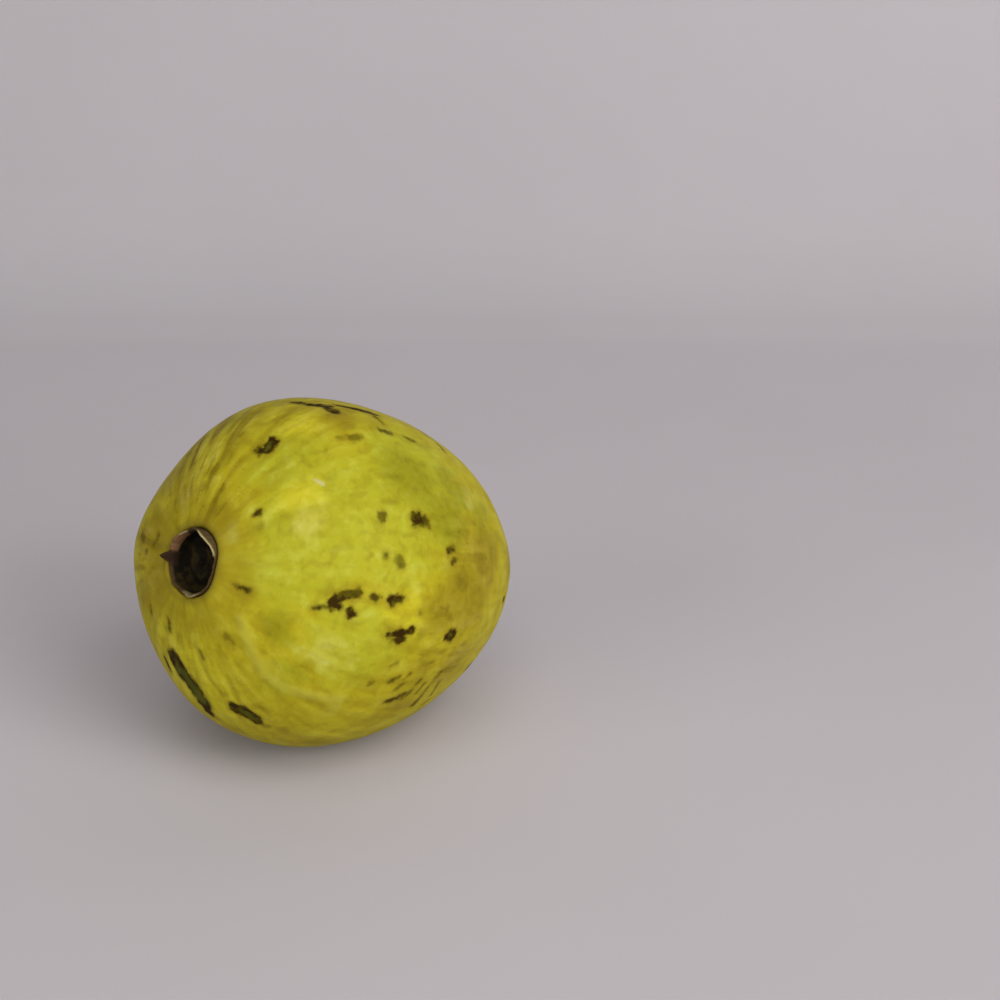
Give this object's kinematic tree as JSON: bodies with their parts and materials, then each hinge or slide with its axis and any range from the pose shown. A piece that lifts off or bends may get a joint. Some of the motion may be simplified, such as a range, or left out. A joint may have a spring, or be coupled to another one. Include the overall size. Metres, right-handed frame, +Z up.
{
  "type": "guava",
  "caption": "Ripe yellow guava lying on its side: an egg-shaped fruit with a dried calyx cup at the raised end and a creased stalk dimple with a dry stub at the other.",
  "frame": {"origin": "on the surface that the fruit lies on, under the middle of its box", "axes": "+Z up, the fruit's length along X with its calyx end towards -X and raised, its stalk end towards +X"},
  "size_m": [0.0796, 0.0682, 0.0698],
  "materials": {
    "fruit_skin": "satin waxy yellow-green skin with brown blemishes",
    "dried_calyx": "matt dry papery brown",
    "stalk_bark": "matt dry bark"
  },
  "bodies": {
    "root": {"fruit": "fruit_skin", "calyx": "dried_calyx", "stem_stub": "stalk_bark"}
  },
  "joints": []
}
